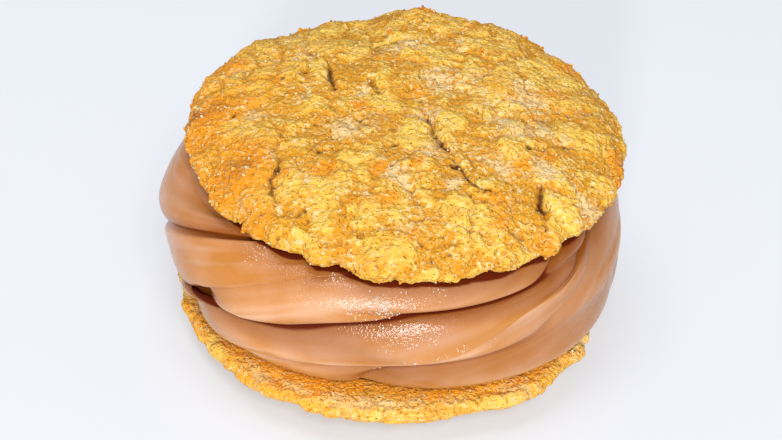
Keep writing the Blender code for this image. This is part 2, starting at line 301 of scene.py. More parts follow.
def crust(points, seed):
    """Rise of the crust over the plain dough: puffed lumps 6 and 2.8 mm across with knobs of 2.2 and 1.2 mm
    and grain of 0.7 mm, drawn out of true by slow noise. Gives the whole rise, and the lumps and knobs alone
    from about -1 to 1."""
    x, y, z = points.T
    bent_x = x + 1.8 * noise(x, y, z, 5.0, seed) + 0.45 * noise(x, y, z, 1.5, seed + 6)
    bent_y = y + 1.8 * noise(x, y, z, 5.0, seed + 1) + 0.45 * noise(x, y, z, 1.5, seed + 7)
    big = puff(bent_x, bent_y, z, 6.0, seed + 2) - 0.62
    middle = 0.6 * puff(bent_x, bent_y, z, 2.8, seed + 3) - 0.37 + 0.4 * noise(bent_y, bent_x, z, 2.2, seed + 8)
    small = 0.8 * noise(bent_x, bent_y, z, 1.2, seed + 4)
    grain = noise(x, y, z, 0.7, seed + 5)
    return 0.65 * big + 0.50 * middle + 0.22 * small + 0.12 * grain - 0.12, big + 0.8 * middle + 0.3 * small


def nibbled(points, seed):
    """Depth of the crumbs that have broken from the rim: holes where noise is high, near the foot."""
    x, y, z = points.T
    missing = np.clip(noise(x, y, z, 1.9, seed) - 0.15, 0, 1) + 0.6 * np.clip(noise(x, y, z, 0.9, seed + 1), 0, 1)
    return missing * np.exp(-((z / 1.8) ** 2))


def baked_crust(name, base, gold, sandy, toasted):
    """Baked sugar-cookie dough: butter, flour and sugar that has dried to a matt crust. It is golden, browned to
    orange where it stood up or met the tray, and sandy and pale where sugar and flour lie on it. The crack field is
    painted shade: it darkens the cracks, the pits, the creases between lumps and the ledge under the ice cream."""
    material = new_material(name)
    tree = material.node_tree
    place = add_node(tree, "TexCoord").outputs["Object"]
    toast, pale, crack, rise = (
        add_node(tree, "Attribute", {"attribute_name": field}).outputs["Fac"]
        for field in ("toast", "pale", "crack", "rise")
    )
    blotch = add_node(tree, "TexNoise", inputs={"Vector": place, "Scale": 1 / (3.2 * MM), "Detail": 3.0})
    crumb = add_node(tree, "TexNoise", inputs={"Vector": place, "Scale": 1 / (0.9 * MM), "Detail": 3.0, "Roughness": 0.65})
    grain = add_node(tree, "TexNoise", inputs={"Vector": place, "Scale": 1 / (0.60 * MM), "Detail": 2.0, "Roughness": 0.6})
    blotch, crumb, grain = (
        add_node(tree, "MapRange", inputs={"Value": field, "From Min": 0.3, "From Max": 0.7, "To Min": -1.0})
        for field in (blotch, crumb, grain)
    )

    def mixed(first, second, amount, start, end, *ragged):
        """First colour turning into the second as amount goes from start to end, ragged by noise."""
        for source, weight in ragged:
            amount = add_node(tree, "Math", {"operation": "MULTIPLY_ADD"}, {0: source, 1: weight, 2: amount})
        amount = add_node(
            tree,
            "MapRange",
            {"interpolation_type": "SMOOTHSTEP"},
            {"Value": amount, "From Min": start, "From Max": end},
        )
        return add_node(tree, "Mix", {"data_type": "RGBA"}, {"Factor": amount, "A": first, "B": second})

    colour = mixed(base, gold, rise, -0.5, 0.7, (blotch, 0.6), (crumb, 0.6))
    colour = mixed(colour, sandy, pale, 0.15, 1.0, (crumb, 0.5), (grain, 0.2))
    colour = mixed(colour, toasted, toast, 0.15, 0.9, (blotch, 0.45), (crumb, 0.6))
    colour = mixed(colour, srgb("A65A10"), toast, 1.3, 2.4, (crumb, 0.8), (grain, 0.4))
    colour = mixed(colour, srgb("EAD294"), crumb, 0.25, 1.1, (blotch, 0.4), (grain, 0.3))
    colour = mixed(colour, srgb("E2920E"), crumb, -0.4, -1.2, (blotch, 0.4), (grain, 0.3))
    colour = mixed(colour, srgb("DEC27E"), grain, 0.35, 1.3)
    colour = mixed(colour, srgb("94600F"), grain, -0.45, -1.1)
    # painted shade: the crack field darkens cracks, pits, creases between lumps and the ledge under the ice cream
    colour = mixed(colour, srgb("61340C"), crack, 0.25, 1.0, (grain, 0.15))
    height = add_node(tree, "Math", {"operation": "MULTIPLY_ADD"}, {0: grain, 1: 0.5, 2: crumb})
    bump = add_node(tree, "Bump", inputs={"Height": height, "Strength": 1.0, "Distance": 0.20 * MM})
    surface = add_node(
        tree,
        "BsdfPrincipled",
        inputs={
            "Base Color": colour,
            "Roughness": 0.72,
            "IOR": 1.45,
            "Specular IOR Level": 0.4,
            "Subsurface Weight": 0.08,
            "Subsurface Radius": (1.0, 0.6, 0.25),
            "Subsurface Scale": 0.8 * MM,
            "Normal": bump,
        },
    )
    add_node(tree, "OutputMaterial", inputs={"Surface": surface})
    return material


# A copy of the dough in lighter colours: the tray side's browning is real, but its brighter orange and gold are
# painted light that makes up for the ice cream's shade on the ledge.
brightened_tray_side = baked_crust("tray_baked_cookie_painted_bright", srgb("E8A83C"), srgb("F6C65A"), srgb("F0C67E"), srgb("FFA20E"))
share, angle, triangles = cookie_grid(150, 26, 70, inner=0.80)
outline = [(-centre, half_width, amount) for centre, half_width, amount in BOTTOM_OUTLINE]
nibbles = [(-centre, half_width, amount) for centre, half_width, amount in BOTTOM_NIBBLES]
points, outward = cookie_body(share, angle, BOTTOM_RADIUS, BOTTOM_THICKNESS, outline, nibbles, BOTTOM_LUMPS, 11)
on_base = np.clip((share - 0.97) / 0.06, 0, 1)
reach = np.hypot(points[:, 0], points[:, 1])
rise, middles = crust(points, 41)
base_rise = np.minimum(0, 0.12 * rise - 0.03) * np.clip((reach - 31) / 4, 0.15, 1)
relief = rise * 0.8 * (1 - on_base) + base_rise * on_base - 0.8 * nibbled(points, 61) * np.clip((reach - 39) / 2.5, 0, 1)
points = points + outward * relief[:, None]
pressed = BOTTOM_THICKNESS - RESTING_CLIP
points[:, 2] = np.minimum(points[:, 2], pressed)
x, y, z = points.T
toast = 0.20 + 0.5 * middles + 0.5 * noise(x, y, z, 8.0, 71) + 0.25 * noise(x, y, z, 3.0, 72)
toast = toast + on_base * 0.75 * np.clip((42.0 - reach) / 3.5, -1, 1)
toast = np.where(on_base > 0, np.minimum(toast, 0.7), toast)
near_cream = np.hypot(points[:, 0] + BOTTOM_CENTRE[0] - 1.2, points[:, 1] - BOTTOM_CENTRE[1])
pale = 0.25 - 0.4 * middles + 0.5 * noise(x, y, z, 6.0, 73) + on_base * 0.7 * np.clip((reach - 39) / 3, -1, 1)
points = points * [1, -1, -1] + [*BOTTOM_CENTRE, pressed]
ledge = points, triangles, on_base * np.clip((reach - 37.5) / 1.5, 0, 1)
bottom = put_mesh(
    "bottom_cookie_crust",
    points,
    triangles,
    brightened_tray_side,
    toast=toast,
    pale=pale,
    # painted shade: a dark band on the ledge just under the ice cream's bulge, and darker creases between lumps
    crack=on_base * np.clip((36.8 - near_cream) / 0.6, 0, 1) + np.clip(-0.8 * middles - 0.35, 0, 0.5) * (1 - 0.8 * on_base),
    # painted light: the extra rise on the base lifts the ledge towards gold
    rise=middles * (1 - 0.5 * on_base) + 0.4 * on_base,
)
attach(bottom, "root")
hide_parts("bottom_cookie")


# --- Ice cream ---------------------------------------------------------------
# Light chocolate soft-serve, piped round in thick ribbons that climb anticlockwise, then squeezed by the top
# cookie until its sides bulge past both cookies. It is smooth and wet-looking, with a sparkle of ice.

TOP_RADIUS = 42.0
TOP_THICKNESS = 9.4
TOP_BASE_Z = 38.2  # height of the top cookie's base over the middle of the sandwich
TOP_LEAN_X = -0.020  # rise of that base for each millimetre along +X
TOP_LEAN_Y = 0.052  # and along +Y
TOUCH = 0.05  # left between the ice cream and a cookie
TOP_OUTLINE = (
    (-95, 50, 0.3),
    (164, 8, 0.5),
    (129, 3, -0.9),
    (58, 4, 0.5),
    (53, 4, 0.6),
    (27, 3, 0.7),
    (16, 3, 0.5),
    (-44, 4, -1.2),
    (-55, 5, -0.8),
    (-107, 4, -0.7),
    (-116, 3, -0.8),
    (-122, 4, 0.5),
    (65, 14, 0.8),
    (87, 5, 0.9),
    (116, 14, -0.8),
    (150, 16, 0.5),
)
TOP_NIBBLES = (
    (-42, 1.2, -0.7),
    (-48, 1.5, 0.5),
    (-116, 1.0, -0.6),
    (-112, 1.2, 0.4),
    (-106, 1.2, -0.3),
    (-135, 1.3, -0.6),
    (-129, 1.5, 0.3),
    (-97, 2.0, 0.3),
    (-90, 1.2, -0.3),
    (-70, 2.0, -0.3),
    (86, 2.5, 0.9),
    (57, 1.2, 0.5),
)

CREAM_FOOT = (1.2, 0.0)
CREAM_HEAD = (-4.5, 0.0)
CREAM_FLAT_RADIUS = 34.0
CREAM_BULGE = 11.2
CREAM_SQUARENESS = 2.4
CREAM_BELLY = CREAM_FLAT_RADIUS + CREAM_BULGE
CREAM_OUTLINE = ((-137, 20, 1.5), (-99, 22, -1.5), (-42, 22, 1.1), (-8, 40, -1.6), (158, 24, -3.4))
SIDE_LENGTH = 45.0
UNDERCUT = 1.0
CREASE_TURN = 106
CREASES = (  # start angle, flat runs, depths, slopes above and below, crowns of the ribbon below, bead above, whose last number is the strength of the painted shadow along the crease
    (-221.5, ((0.75, -3, 0.10),), ((0, 2.4), (0.3, 1.8), (0.45, 1.1), (0.6, 1.2), (1, 2.1)), 4.5, 1.4, ((0.4, 0.2), (0.6, -0.6)), (4.0, 3.2, 0.4, 0.4)),
    (-203, ((0.45, 10, 0.02), (0.85, 8, 0.06)), ((0.35, 3.0), (0.48, 4.2), (0.54, 1.0), (0.62, 0.3)), 2.0, 3.5, ((0, 0.8),), (0.8, 0.4, 0.0, 0.2)),
    (-189.5, ((0.51, 21.6, 0.019), (0.59, 15.7, 0.05), (0.678, 29.2, 0.014)), ((0, 3.0), (0.44, 1.4), (0.5, 2.4), (0.66, 2.2), (0.74, 1.2), (0.85, 0.8), (1, 0.9)), 1.6, 8.0, ((0, 0.9),), (0.6, 0.4, 0.15, 1.0)),
    (-161.2, ((0.417, 42.6, 0.082), (0.611, 17.4, 0.014)), ((0.60, 0.0), (0.66, 1.5), (1, 1.8)), 2.5, 5.0, ((0.3, 0.5), (0.55, -0.7)), (1.5, 0.8, 0.0, 0.2)),
    (-101.5, ((0.156, -32.4, 0.164), (0.438, 31.0, 0.042), (0.546, 7.7, 0.018)), ((0, 0.7), (0.12, 0.9), (0.2, 1.4), (0.3, 2.5), (0.45, 1.6), (0.54, 0.9), (1, 1.3)), 7.0, 14.0, ((0.1, -0.6), (0.35, 0.5), (0.5, 1.0)), (1.7, 0.7, 0.10, 0.3)),
    (-52, ((0.50, 30, 0.040),), ((0, 2.4), (0.5, 2.6), (1, 1.8)), 2.0, 7.0, ((0, 0.8),), (0.8, 0.4, 0.04, 0.5)),
    (-10, ((0.42, 25, 0.040),), ((0, 2.4), (0.5, 2.2), (1, 1.8)), 5.0, 3.0, ((0, 0.8),), (1.5, 0.6, 0.08, 0.4)),
    (45, ((0.58, 25, 0.050),), ((0, 2.4), (0.5, 2.6), (1, 1.8)), 2.0, 7.0, ((0.4, 1.6), (0.6, 0.0), (0.75, -1.6), (1, -2.5)), (0.8, 0.4, 0.04, 0.5)),
)


def crease_line(crease, along):
    """A crease's angle, its height as a share of the side, and its direction on the unrolled side, at shares
    of its own length. The angle is an even climb plus a smooth step for each flat run."""
    start, runs = CREASES[crease % len(CREASES)][:2]
    share = np.linspace(0, 1, 600)
    angle = start + 360 * (crease // len(CREASES)) + CREASE_TURN * share
    for height, turn, softness in runs:
        angle = angle + turn * (0.5 + 0.5 * np.tanh((share - height) / softness))
    round_mm, up_mm = np.radians(angle) * CREAM_BELLY, share * SIDE_LENGTH
    length = np.concatenate([[0], np.cumsum(np.hypot(np.diff(round_mm), np.diff(up_mm)))])
    length /= length[-1]
    ahead, behind = np.clip(along + 0.01, 0, 1), np.clip(along - 0.01, 0, 1)
    step_round = np.interp(ahead, length, round_mm) - np.interp(behind, length, round_mm)
    step_up = np.interp(ahead, length, up_mm) - np.interp(behind, length, up_mm)
    step = np.hypot(step_round, step_up)
    return np.interp(along, length, angle), np.interp(along, length, share), step_round / step, step_up / step


def ribbon_surface(ribbon, across, along):
    """One ribbon, from the crease above it to the crease below: angle, height share, relief outwards, undercut
    upwards, painted shade in the hollow beside a crease and on the ribbons under the top cookie, streaks, and painted
    shadow in dark lines along the sharper creases. The lip above a crease rolls over like a wave with a fine bead
    along it, the ribbon below eases out of it, and the nozzle's teeth leave faint streaks that run with the flow."""
    upper, lower = crease_line(ribbon, along), crease_line(ribbon + 1, along)
    angle = upper[0] + (lower[0] - upper[0]) * across
    share = upper[1] + (lower[1] - upper[1]) * across
    gap_round = np.radians(lower[0] - upper[0]) * CREAM_BELLY
    gap_up = (lower[1] - upper[1]) * SIDE_LENGTH
    width = np.abs(gap_round * upper[3] - gap_up * upper[2])
    crown = np.interp(share, *zip(*CREASES[ribbon][5]))
    relief = crown * np.minimum(1, width / 14) * 4 * across * (1 - across)
    undercut, hollow, seam = 0.0, 0.0, 0.0
    for crease, line, part, lip in ((ribbon, upper, across, False), (ribbon + 1, lower, 1 - across, True)):
        depths, reach_above, reach_below, _, bead = CREASES[crease % len(CREASES)][2:]
        depth = np.interp(line[1], *zip(*depths))
        distance = part * np.abs(gap_round * line[3] - gap_up * line[2])
        near = np.clip(1 - distance / (reach_above if lip else reach_below), 0, 1)
        relief = relief - depth * (1 - np.sqrt(1 - near**2) if lip else near**1.7)
        undercut = undercut + np.minimum(depth / 2.5, 1) * UNDERCUT * near**4
        # painted shade: darker towards each crease, on both sides
        hollow = hollow + np.minimum(depth / 2.5, 1) * near ** (1.5 if lip else 0.9)
        # painted shadow: a dark line along each sharp crease, under its lip
        sharp = bead[3] * np.clip((depth - 1.0) / 0.6, 0, 1)
        seam = seam + sharp * np.clip(((0.25 if lip else 0.6) * depth - distance) / 0.25, 0, 1)
        if lip:
            relief = relief + bead[2] * np.exp(-(((distance - bead[0]) / bead[1]) ** 2))
    flow_mm = across * np.mean(width)
    length_mm = along * 130.0 + 0 * across
    streaks = 0.6 * noise(flow_mm, length_mm / 14, 37.0 * ribbon + 0 * flow_mm, 2.6, 5)
    streaks = streaks + 0.4 * noise(flow_mm, length_mm / 18, 37.0 * ribbon + 0 * flow_mm, 0.9, 6)
    relief = relief + 0.10 * streaks
    # painted shade on the upper ribbons, which lie in the top cookie's shade
    hollow = hollow + 0.35 * np.clip((share - 0.5) / 0.25, 0, 1)
    return angle, share, relief, undercut, hollow, streaks, np.clip(seam, 0, 1)


def barrel(share):
    """Distance out from the flats' radius and height between the cookies, both as shares, at shares of the
    way round the side from the lower flat to the upper one: half of a rounded oblong."""
    turn = np.clip(share - 0.5, -0.5, 0.5) * math.pi
    power = 2 / CREAM_SQUARENESS
    return np.abs(np.cos(turn)) ** power, 0.5 + 0.5 * np.sign(turn) * np.abs(np.sin(turn)) ** power


def cream_points(angle, share, relief, undercut):
    """Places the ribbons on the barrel. Relief moves a point along the barrel's normal and undercut moves it
    up the side; both fade out where the barrel meets the flats."""
    out, up = barrel(share)
    ahead, behind = barrel(share + 0.004), barrel(share - 0.004)
    side_r = CREAM_BULGE * (ahead[0] - behind[0])
    side_z = (TOP_BASE_Z - BOTTOM_THICKNESS) * (ahead[1] - behind[1])
    step = np.maximum(np.hypot(side_r, side_z), 1e-9)
    side_r, side_z = side_r / step, side_z / step
    fade = np.clip(np.minimum(share, 1 - share) / 0.08, 0, 1)
    radians = np.radians(angle)
    r = CREAM_FLAT_RADIUS + (CREAM_BULGE + outline_offset(radians, CREAM_OUTLINE)) * out
    r = r + fade * (relief * side_z + undercut * side_r)
    x = CREAM_FOOT[0] + (CREAM_HEAD[0] - CREAM_FOOT[0]) * up + r * np.cos(radians)
    y = CREAM_FOOT[1] + (CREAM_HEAD[1] - CREAM_FOOT[1]) * up + r * np.sin(radians)
    lower = BOTTOM_THICKNESS - RESTING_CLIP + TOUCH
    upper = TOP_BASE_Z - TOUCH + TOP_LEAN_X * x + TOP_LEAN_Y * y
    z = lower + (upper - lower) * up + fade * (undercut * side_z - relief * side_r)
    return np.stack([x, y, np.clip(z, lower, upper)], -1)


def soft_serve(name):
    """Chocolate soft-serve: milk, sugar, cocoa and ice whipped with air, extruded and half frozen. Light goes a little
    way into it, and its smooth skin has a sheen broken up by ice crystals. Painted shade darkens it in the hollows by
    the creases and under the top cookie, and painted shadow darkens it further along the sharper creases and the rim,
    where its shine is turned down."""
    material = new_material(name)
    tree = material.node_tree
    place = add_node(tree, "TexCoord").outputs["Object"]
    hollow, streak, seam = (
        add_node(tree, "Attribute", {"attribute_name": field}).outputs["Fac"] for field in ("hollow", "streak", "seam")
    )
    cloud = add_node(tree, "TexNoise", inputs={"Vector": place, "Scale": 1 / (9.0 * MM), "Detail": 2.0})
    frost = add_node(tree, "TexNoise", inputs={"Vector": place, "Scale": 1 / (0.36 * MM), "Detail": 1.0})
    blend = add_node(tree, "Math", {"operation": "MULTIPLY_ADD"}, {0: streak, 1: 0.45, 2: cloud})
    blend = add_node(tree, "MapRange", inputs={"Value": blend, "From Min": 0.2, "From Max": 0.8})
    colour = add_node(
        tree, "Mix", {"data_type": "RGBA"}, {"Factor": blend, "A": srgb("BE7E3C"), "B": srgb("D1A07A")}
    )
    # painted shade: a darker, richer brown in the hollows and under the top cookie
    colour = add_node(
        tree, "Mix", {"data_type": "RGBA"}, {"Factor": hollow, "A": colour, "B": srgb("8A4A12")}
    )
    # painted shadow: near-black brown along the sharper creases and under the rim, with the shine turned down there
    # too
    colour = add_node(tree, "Mix", {"data_type": "RGBA"}, {"Factor": seam, "A": colour, "B": srgb("5C1E0A")})
    gloss = add_node(tree, "MapRange", inputs={"Value": seam, "To Min": 0.6, "To Max": 0.05})
    bump = add_node(tree, "Bump", inputs={"Height": frost, "Strength": 0.8, "Distance": 0.12 * MM})
    surface = add_node(
        tree,
        "BsdfPrincipled",
        inputs={
            "Base Color": colour,
            "Roughness": 0.19,
            "IOR": 1.40,
            "Specular IOR Level": gloss,
            "Subsurface Weight": 0.12,
            "Subsurface Radius": (1.0, 0.5, 0.3),
            "Subsurface Scale": 1.0 * MM,
            "Normal": bump,
        },
    )
    add_node(tree, "OutputMaterial", inputs={"Surface": surface})
    return material


columns, rows = 54, 215
across = 0.5 - 0.5 * np.cos(math.pi * np.arange(columns) / columns)
along = np.linspace(0, 1, rows)[:, None]
ribbons = [ribbon_surface(ribbon, across, along) for ribbon in range(len(CREASES))]
*place, hollow, streaks, seam = (np.concatenate(values, axis=1) for values in zip(*ribbons))
points = cream_points(*place)
x, y, z = np.moveaxis(points, -1, 0)
rim = rim_radius(np.arctan2(y, x), TOP_RADIUS, TOP_OUTLINE, TOP_NIBBLES, 3)
gap = TOP_BASE_Z + TOP_LEAN_X * x + TOP_LEAN_Y * y - z
# painted shadow: a thin dark line where the top cookie's rim overhangs the ice cream, and where the ice cream meets
# the cookie's base
under_rim = rim - np.hypot(x, y) - 0.95 * gap + 0.15 + 0.03 * np.minimum(x, 0)
seam = np.clip(seam + np.clip(np.maximum(under_rim, 0.8 - gap) / 0.3, 0, 1), 0, 1)
# painted shade on the ice cream near the rim, fading out 6 mm beyond the shadow line
hollow = hollow + 0.35 * np.clip(1 + under_rim / 6, 0, 1)
foot, head = points[0].mean(axis=0), points[-1].mean(axis=0)
grid = np.arange(rows * points.shape[1]).reshape(rows, -1)
beside = np.roll(grid, -1, axis=1)
halves = (grid[:-1], beside[:-1], grid[1:]), (beside[:-1], beside[1:], grid[1:])
closing = (np.full_like(grid[0], grid.size), beside[0], grid[0]), (np.full_like(grid[0], grid.size + 1), grid[-1], beside[-1])
triangles = np.concatenate([np.stack(half, -1).reshape(-1, 3) for half in halves + closing])
points = np.vstack([points.reshape(-1, 3), foot, head])
twist = points, triangles
cream = put_mesh(
    "soft_serve_twist",
    points,
    triangles,
    soft_serve("chocolate_soft_serve"),
    hollow=np.append(hollow.ravel(), [0, 0]),
    streak=np.append(streaks.ravel(), [0, 0]),
    seam=np.append(seam.ravel(), [0, 0]),
)
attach(cream, "root")
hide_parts("ice_cream")


# --- Top cookie --------------------------------------------------------------
# The same dough, domed side up. Its crown cracked as it spread in the oven, browned where it stood up, and
# was dusted with sugar. It leans a little to the front on the ice cream.

TOP_LUMPS = (
    (86, 35.0, 7.0, 1.5),
    (60, 35.0, 9.0, 0.6),
    (112, 33.0, 11.0, -0.9),
    (-35, 25.0, 8.0, 0.6),
    (-100, 27.0, 9.0, 0.5),
    (170, 26.0, 9.0, 0.5),
)
CRACKS = (  # half width, depth, then the places that the crack runs through
    (0.70, 1.5, (-16, 14), (-14.9, 8.5), (-14.1, 3.5)),
    (0.70, 1.2, (-8.5, 8.5), (-6, 6), (-5.3, 2.8)),
    (0.50, 1.1, (2.0, 1.0), (3.5, -2.5), (5.1, -8.1), (6.8, -11.5), (8.5, -15)),
    (0.55, 1.4, (8.5, -15), (10.2, -17.8), (11.4, -21), (12.6, -22.7), (14.2, -23.3), (17, -24)),
    (0.55, 0.9, (12.2, -24), (12.7, -26.8), (12.6, -30.1), (11.9, -33.3), (13.5, -36)),
    (0.50, 0.8, (21, -12.5), (24.9, -9.8), (28.8, -7.6), (31.7, -6.3), (35.5, -6.6)),
    (0.55, 2.0, (25.2, -19.6), (24.9, -22.5), (25.3, -24), (26, -25.2)),
    (0.65, 1.3, (-23.5, -15.5), (-23.2, -19.9), (-24.4, -22.2), (-24, -25.2), (-22.3, -29)),
    (1.10, 0.9, (-8, 20.5), (-2.9, 22.8), (2, 24.5)),
    (0.90, 0.6, (-25, 17), (-19.1, 17.9), (-14, 15)),
    (0.60, 0.7, (-15.5, 0.5), (-12.3, -5.7), (-9.6, -9.5)),
    (0.40, 0.8, (4.6, -37.8), (8.2, -36.4), (11.5, -35.5)),
    (0.60, 0.7, (-39.3, -7), (-37.4, -12.4), (-35.5, -17)),
    (0.45, 0.6, (-0.5, -30.6), (3.6, -32.3)),
    (0.60, 0.5, (1, -24.2), (6.4, -24.3), (11, -24)),
    (0.40, 0.7, (-17, -36), (-13, -37.3), (-9, -37.0)),
)
PITS = (  # x, y, radius, depth
    (-15.9, -16.0, 0.6, 0.8),
    (-12.5, -15.0, 0.7, 0.6),
    (-2.2, -12.4, 0.9, 0.7),
    (-23.5, -19.9, 0.5, 0.9),
    (-18.6, -30.7, 0.8, 0.6),
    (-22.3, -35.4, 0.6, 0.9),
    (-29.4, -29.3, 0.5, 0.8),
    (-7.7, -36.2, 0.5, 0.9),
    (-6.5, -39.2, 0.6, 0.8),
    (-24.2, -34.3, 0.5, 0.6),
    (-29.4, -23.4, 0.5, 0.5),
    (6.6, -10.8, 0.5, 0.8),
    (9.2, -17.9, 0.8, 1.2),
    (15.1, -23.6, 0.6, 0.9),
    (23.0, -11.0, 0.7, 0.9),
    (2.8, -38.0, 0.5, 0.7),
    (18.5, -34.9, 0.4, 0.7),
    (16.8, -36.8, 0.5, 0.7),
    (25.5, -28.6, 0.5, 0.7),
    (-20.5, -6.3, 0.5, 0.7),
    (-23.3, -10.1, 0.5, 0.7),
    (24.9, -25.4, 0.8, 1.3),
)
BROWNED = (  # x, y, radius, strength
    (-7.8, -1.8, 2.4, 1.3),
    (-5.4, -6.6, 2.0, 1.0),
    (-1.5, 12.1, 2.6, 1.0),
    (-5.7, 16.7, 2.6, 0.8),
    (-40.2, -1.0, 3.0, 1.3),
    (-34.2, 14.8, 2.6, 0.9),
    (-25.6, 6.6, 2.6, 0.7),
    (-34.0, -2.0, 4.5, 0.8),
    (-38.2, -7.5, 2.8, 1.0),
    (1.7, 5.7, 2.2, 1.0),
    (12.9, 31.0, 2.2, 0.8),
    (17.3, 8.5, 2.8, 0.6),
    (27.8, 8.5, 3.4, 0.7),
    (22.9, -0.6, 2.2, 1.0),
    (33.0, 2.2, 1.8, 0.9),
    (31.3, 20.9, 3.0, 0.8),
    (2.5, 38.0, 3.0, 1.3),
    (-29.4, -18.0, 4.6, 1.3),
    (-31.0, -23.0, 4.0, 0.7),
    (-16.0, -20.3, 2.4, 1.2),
    (-12.5, -19.7, 1.8, 1.0),
    (-5.2, -19.6, 2.0, 1.4),
    (-9.5, -28.2, 2.0, 1.0),
    (-3.2, -27.9, 2.0, 1.1),
    (-26.1, -30.8, 3.6, 0.8),
    (-10.9, -38.4, 3.2, 0.7),
    (-22.0, -21.0, 1.4, 0.8),
    (2.1, -18.0, 2.8, 1.2),
    (20.8, -15.8, 2.6, 1.1),
    (26.5, -11.2, 2.2, 1.3),
    (30.0, -10.6, 1.6, 1.0),
    (40.2, -6.5, 2.6, 1.5),
    (40.0, -11.5, 2.4, 1.2),
    (17.4, -25.5, 2.4, 1.3),
    (17.3, -30.4, 2.2, 0.9),
    (26.1, -30.7, 2.4, 0.9),
    (8.4, -30.4, 2.0, 0.8),
    (0.9, -35.8, 2.6, 0.8),
    (5.4, -25.6, 1.6, 0.8),
)
SUGARED = (  # x, y, radius, strength
    (-22.1, -29.6, 1.4, 1.6),
    (-6.5, -27.0, 2.0, 1.1),
    (-18.4, -23.2, 1.8, 0.8),
    (-25.8, -15.4, 1.8, 1.0),
    (-6.3, -16.6, 2.0, 0.8),
    (-1.8, -21.0, 2.6, 1.0),
    (17.7, -17.6, 2.4, 1.0),
    (26.2, -16.6, 2.8, 1.5),
    (33.1, -20.3, 3.0, 0.8),
    (9.3, -22.4, 2.0, 1.2),
    (4.3, -13.6, 3.0, 0.9),
    (19.5, -5.2, 3.2, 0.9),
    (26.1, -3.4, 2.4, 1.0),
    (30.4, -6.4, 1.6, 1.2),
    (-29.1, -5.0, 2.6, 0.9),
    (-20.7, 15.3, 2.4, 1.1),
    (-34.3, 11.2, 2.0, 0.9),
    (-18.4, 1.6, 2.2, 0.8),
    (-8.2, 4.5, 2.2, 0.9),
    (-10.8, -9.0, 3.2, 0.9),
    (-1.5, 20.0, 3.6, 0.8),
    (10.2, 24.7, 1.6, 1.3),
    (5.5, 9.0, 4.0, 0.9),
    (13.0, 11.5, 4.0, 0.7),
    (21.9, 11.7, 3.4, 0.7),
    (23.0, 3.0, 3.0, 0.8),
    (14.9, 1.6, 4.0, 0.8),
    (4.0, -3.0, 3.4, 0.8),
    (33.5, -24.0, 2.4, 0.8),
)


def crack_depth(x, y, cracks):
    """Depth of the cracks: a ragged V on each side of a line through the crack's places, which tapers to
    nothing at its two ends. Gives the depth and how near the line is, from 0 to 1."""
    depth, nearness = 0 * x, 0 * x
    for half_width, deepest, *places in cracks:
        places = np.array(places, float)
        nearest, way = np.full_like(x, 1e9), 0 * x
        for i, (start, end) in enumerate(zip(places[:-1], places[1:])):
            step = end - start
            t = np.clip(((x - start[0]) * step[0] + (y - start[1]) * step[1]) / (step @ step), 0, 1)
            distance = np.hypot(x - start[0] - t * step[0], y - start[1] - t * step[1])
            way = np.where(distance < nearest, (i + t) / (len(places) - 1), way)
            nearest = np.minimum(nearest, distance)
        taper = np.sqrt(np.clip(4 * way * (1 - way), 0, 1))
        width = half_width * (0.4 + 0.6 * taper)
        near = np.clip(1 - nearest / (2.2 * width), 0, 1)
        depth = np.maximum(depth, deepest * taper * near**1.5)
        nearness = np.maximum(nearness, np.clip(1.3 - nearest / width, 0, 1) * np.minimum(1, 0.6 * deepest) * taper**0.5)
    return depth, nearness


def patches(x, y, rows):
    """Sum of round patches, each falling off as a bell curve from its strength at its middle."""
    total = 0 * x
    for centre_x, centre_y, radius, strength in rows:
        total = total + strength * np.exp(-((x - centre_x) ** 2 + (y - centre_y) ** 2) / radius**2)
    return total


dough = baked_crust("baked_sugar_cookie", srgb("D0901F"), srgb("EABF50"), srgb("E0C088"), srgb("E29014"))
share, angle, triangles = cookie_grid(200, 52, 6, inner=0.78)
points, outward = cookie_body(share, angle, TOP_RADIUS, TOP_THICKNESS, TOP_OUTLINE, TOP_NIBBLES, TOP_LUMPS, 3)
on_base = np.clip((share - 0.97) / 0.06, 0, 1)
rise, middles = crust(points, 21)
x, y, z = points.T
ragged_x = x + 0.45 * noise(x, y, z, 1.6, 31) + 0.15 * noise(x, y, z, 0.7, 32)
ragged_y = y + 0.45 * noise(x, y, z, 1.6, 33) + 0.15 * noise(x, y, z, 0.7, 34)
crack, crack_near = crack_depth(ragged_x, ragged_y, CRACKS)
pit = patches(ragged_x, ragged_y, [(px, py, 1.1 * pr, pd) for px, py, pr, pd in PITS])
loose = np.random.default_rng(5)
spread = 40 * np.sqrt(loose.random(400))
turned = loose.random(400) * 2 * math.pi
small_pits = np.stack(
    [spread * np.cos(turned), spread * np.sin(turned), 0.25 + 0.30 * loose.random(400), 0.3 + 0.6 * loose.random(400)], -1
)
pit = pit + patches(ragged_x, ragged_y, small_pits)
relief = (rise - crack - 0.7 * pit) * (1 - on_base) - 0.9 * nibbled(points, 51)
points = points + outward * relief[:, None]
wide_x = x + 1.5 * noise(x, y, z, 3.0, 35)
wide_y = y + 1.5 * noise(x, y, z, 3.0, 36)
steep = np.clip((np.hypot(x, y) - 38) / 4, 0, 1)
toast = 1.15 * patches(wide_x, wide_y, BROWNED) + 0.35 * middles + 0.30 * noise(x, y, z, 6.0, 37)
toast = toast + 0.35 * np.clip(-(x + 22) / 18, -1, 1) * (y < 20) + 0.40 * steep
pale = 0.9 * patches(wide_x, wide_y, SUGARED) - 0.30 * middles + 0.35 * noise(x, y, z, 7.0, 38)
points = points + np.stack([0 * x, 0 * x, TOP_BASE_Z + TOP_LEAN_X * points[:, 0] + TOP_LEAN_Y * points[:, 1]], -1)
crown = points, triangles, (1 - on_base) * (0.35 + 0.5 * np.clip(pale, 0, 1.5) + 0.5 * steep), steep * (1 - on_base)
